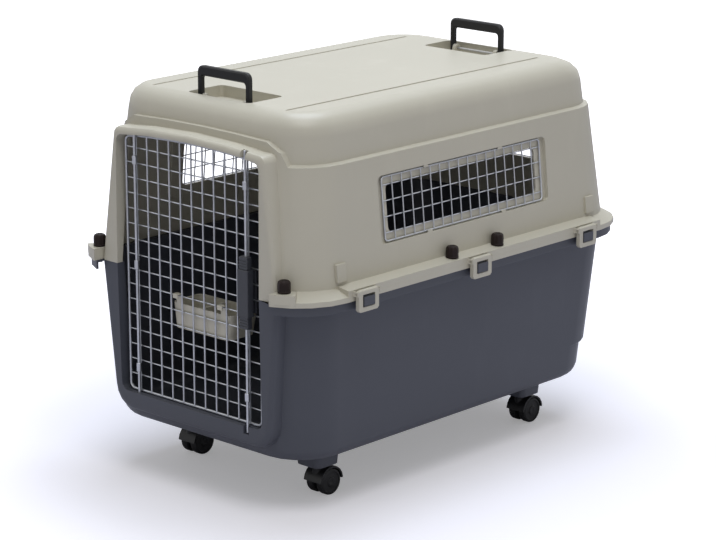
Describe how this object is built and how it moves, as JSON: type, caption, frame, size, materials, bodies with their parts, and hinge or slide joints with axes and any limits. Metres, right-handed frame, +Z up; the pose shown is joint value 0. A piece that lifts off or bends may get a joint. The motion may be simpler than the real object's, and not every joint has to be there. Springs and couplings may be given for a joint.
{
  "type": "pet travel crate",
  "caption": "Rigid travel crate for a dog: two moulded shells, a latched wire door, wire windows, folding handles and twin-wheel casters.",
  "frame": {"origin": "on the floor under the centre of the crate's bounding box", "axes": "+Z up, +Y along the length towards the rear, door at the -Y end, +X to the right of someone who looks along +Y"},
  "size_m": [0.6332, 0.9288, 0.76],
  "materials": {
    "beige_polypropylene": "fine grained moulded",
    "slate_polypropylene": "fine grained moulded",
    "black_plastic": "satin moulded",
    "wheel_plastic": "satin moulded",
    "zinc_wire": "zinc plated",
    "steel": "bright"
  },
  "bodies": {
    "crate": {"bottom_shell": "slate_polypropylene", "top_shell": "beige_polypropylene", "window_grille_right": "zinc_wire", "window_grille_left": "zinc_wire", "window_grille_rear": "zinc_wire", "handle_pin_front": "steel", "handle_pin_rear": "steel", "knob_right_front": "black_plastic", "knob_right_rear": "black_plastic", "knob_left_front": "black_plastic", "knob_left_rear": "black_plastic", "knob_front_corner_right": "black_plastic", "knob_front_corner_left": "black_plastic", "bolt_right_front": "steel", "bolt_right_rear": "steel", "bolt_left_front": "steel", "bolt_left_rear": "steel", "bolt_front_corner_right": "steel", "bolt_front_corner_left": "steel", "caster_stem_front_right": "steel", "caster_stem_front_left": "steel", "caster_stem_rear_right": "steel", "caster_stem_rear_left": "steel"},
    "door": {"door_panel": "zinc_wire", "door_hinge_rod": "zinc_wire", "latch_body": "slate_polypropylene", "latch_back_plate": "slate_polypropylene"},
    "latch_upper": {"latch_tab_upper": "slate_polypropylene", "latch_rod_upper": "zinc_wire"},
    "latch_lower": {"latch_tab_lower": "slate_polypropylene", "latch_rod_lower": "zinc_wire"},
    "bowl": {"bowl": "beige_polypropylene"},
    "handle_front": {"handle_front": "black_plastic"},
    "handle_rear": {"handle_rear": "black_plastic"},
    "clip_right_front": {"clip_right_front": "beige_polypropylene"},
    "clip_right_middle": {"clip_right_middle": "beige_polypropylene"},
    "clip_right_rear": {"clip_right_rear": "beige_polypropylene"},
    "clip_left_front": {"clip_left_front": "beige_polypropylene"},
    "clip_left_middle": {"clip_left_middle": "beige_polypropylene"},
    "clip_left_rear": {"clip_left_rear": "beige_polypropylene"},
    "clip_rear_right": {"clip_rear_right": "beige_polypropylene"},
    "clip_rear_left": {"clip_rear_left": "beige_polypropylene"},
    "caster_front_right": {"caster_hood_front_right": "black_plastic"},
    "caster_front_left": {"caster_hood_front_left": "black_plastic"},
    "caster_rear_right": {"caster_hood_rear_right": "black_plastic"},
    "caster_rear_left": {"caster_hood_rear_left": "black_plastic"},
    "wheel_front_right_outer": {"caster_wheel_front_right_outer": "wheel_plastic"},
    "wheel_front_right_inner": {"caster_wheel_front_right_inner": "wheel_plastic"},
    "wheel_front_left_outer": {"caster_wheel_front_left_outer": "wheel_plastic"},
    "wheel_front_left_inner": {"caster_wheel_front_left_inner": "wheel_plastic"},
    "wheel_rear_right_outer": {"caster_wheel_rear_right_outer": "wheel_plastic"},
    "wheel_rear_right_inner": {"caster_wheel_rear_right_inner": "wheel_plastic"},
    "wheel_rear_left_outer": {"caster_wheel_rear_left_outer": "wheel_plastic"},
    "wheel_rear_left_inner": {"caster_wheel_rear_left_inner": "wheel_plastic"}
  },
  "joints": [
    {"name": "door_hinge", "type": "hinge", "parent": "crate", "child": "door", "pos_m": [-0.14025, -0.43502, 0.4], "axis": [0, 0, -1], "range_deg": [0, 135]},
    {"name": "latch_upper_slide", "type": "slide", "parent": "door", "child": "latch_upper", "axis": [0, 0, -1], "range_m": [0, 0.016], "stiffness_N_per_m": 250, "springref_m": -0.012},
    {"name": "latch_lower_slide", "type": "slide", "parent": "door", "child": "latch_lower", "axis": [0, 0, 1], "range_m": [0, 0.016]},
    {"name": "bowl_lift", "type": "slide", "parent": "door", "child": "bowl", "axis": [0, 0, 1], "range_m": [0, 0.012]},
    {"name": "handle_front_fold", "type": "hinge", "parent": "crate", "child": "handle_front", "pos_m": [0, -0.34465, 0.702], "axis": [-1, 0, 0], "range_deg": [0, 88]},
    {"name": "handle_rear_fold", "type": "hinge", "parent": "crate", "child": "handle_rear", "pos_m": [0, 0.32735, 0.702], "axis": [1, 0, 0], "range_deg": [0, 88]},
    {"name": "clip_right_front_swing", "type": "hinge", "parent": "crate", "child": "clip_right_front", "pos_m": [0.3111, -0.31565, 0.4103], "axis": [0, -1, 0], "range_deg": [0, 110]},
    {"name": "clip_right_middle_swing", "type": "hinge", "parent": "crate", "child": "clip_right_middle", "pos_m": [0.3111, -0.01765, 0.4103], "axis": [0, -1, 0], "range_deg": [0, 110]},
    {"name": "clip_right_rear_swing", "type": "hinge", "parent": "crate", "child": "clip_right_rear", "pos_m": [0.3111, 0.28535, 0.4103], "axis": [0, -1, 0], "range_deg": [0, 110]},
    {"name": "clip_left_front_swing", "type": "hinge", "parent": "crate", "child": "clip_left_front", "pos_m": [-0.3111, -0.31565, 0.4103], "axis": [0, 1, 0], "range_deg": [0, 110]},
    {"name": "clip_left_middle_swing", "type": "hinge", "parent": "crate", "child": "clip_left_middle", "pos_m": [-0.3111, -0.01765, 0.4103], "axis": [0, 1, 0], "range_deg": [0, 110]},
    {"name": "clip_left_rear_swing", "type": "hinge", "parent": "crate", "child": "clip_left_rear", "pos_m": [-0.3111, 0.28535, 0.4103], "axis": [0, 1, 0], "range_deg": [0, 110]},
    {"name": "clip_rear_right_swing", "type": "hinge", "parent": "crate", "child": "clip_rear_right", "pos_m": [0.16, 0.45885, 0.4103], "axis": [1, 0, 0], "range_deg": [0, 110]},
    {"name": "clip_rear_left_swing", "type": "hinge", "parent": "crate", "child": "clip_rear_left", "pos_m": [-0.16, 0.45885, 0.4103], "axis": [1, 0, 0], "range_deg": [0, 110]},
    {"name": "caster_front_right_swivel", "type": "hinge", "parent": "crate", "child": "caster_front_right", "pos_m": [0.163, -0.28665, 0.06], "axis": [0, 0, 1], "continuous": true},
    {"name": "caster_front_left_swivel", "type": "hinge", "parent": "crate", "child": "caster_front_left", "pos_m": [-0.163, -0.28665, 0.06], "axis": [0, 0, 1], "continuous": true},
    {"name": "caster_rear_right_swivel", "type": "hinge", "parent": "crate", "child": "caster_rear_right", "pos_m": [0.163, 0.27735, 0.06], "axis": [0, 0, 1], "continuous": true},
    {"name": "caster_rear_left_swivel", "type": "hinge", "parent": "crate", "child": "caster_rear_left", "pos_m": [-0.163, 0.27735, 0.06], "axis": [0, 0, 1], "continuous": true},
    {"name": "wheel_front_right_outer_spin", "type": "hinge", "parent": "caster_front_right", "child": "wheel_front_right_outer", "pos_m": [0.163, -0.27165, 0.02437], "axis": [1, 0, 0], "continuous": true},
    {"name": "wheel_front_right_inner_spin", "type": "hinge", "parent": "caster_front_right", "child": "wheel_front_right_inner", "pos_m": [0.163, -0.27165, 0.02437], "axis": [1, 0, 0], "continuous": true},
    {"name": "wheel_front_left_outer_spin", "type": "hinge", "parent": "caster_front_left", "child": "wheel_front_left_outer", "pos_m": [-0.163, -0.27165, 0.02437], "axis": [1, 0, 0], "continuous": true},
    {"name": "wheel_front_left_inner_spin", "type": "hinge", "parent": "caster_front_left", "child": "wheel_front_left_inner", "pos_m": [-0.163, -0.27165, 0.02437], "axis": [1, 0, 0], "continuous": true},
    {"name": "wheel_rear_right_outer_spin", "type": "hinge", "parent": "caster_rear_right", "child": "wheel_rear_right_outer", "pos_m": [0.163, 0.29235, 0.02437], "axis": [1, 0, 0], "continuous": true},
    {"name": "wheel_rear_right_inner_spin", "type": "hinge", "parent": "caster_rear_right", "child": "wheel_rear_right_inner", "pos_m": [0.163, 0.29235, 0.02437], "axis": [1, 0, 0], "continuous": true},
    {"name": "wheel_rear_left_outer_spin", "type": "hinge", "parent": "caster_rear_left", "child": "wheel_rear_left_outer", "pos_m": [-0.163, 0.29235, 0.02437], "axis": [1, 0, 0], "continuous": true},
    {"name": "wheel_rear_left_inner_spin", "type": "hinge", "parent": "caster_rear_left", "child": "wheel_rear_left_inner", "pos_m": [-0.163, 0.29235, 0.02437], "axis": [1, 0, 0], "continuous": true}
  ],
  "couplings": [
    {"joint": "latch_lower_slide", "follows": "latch_upper_slide", "ratio": 1}
  ]
}
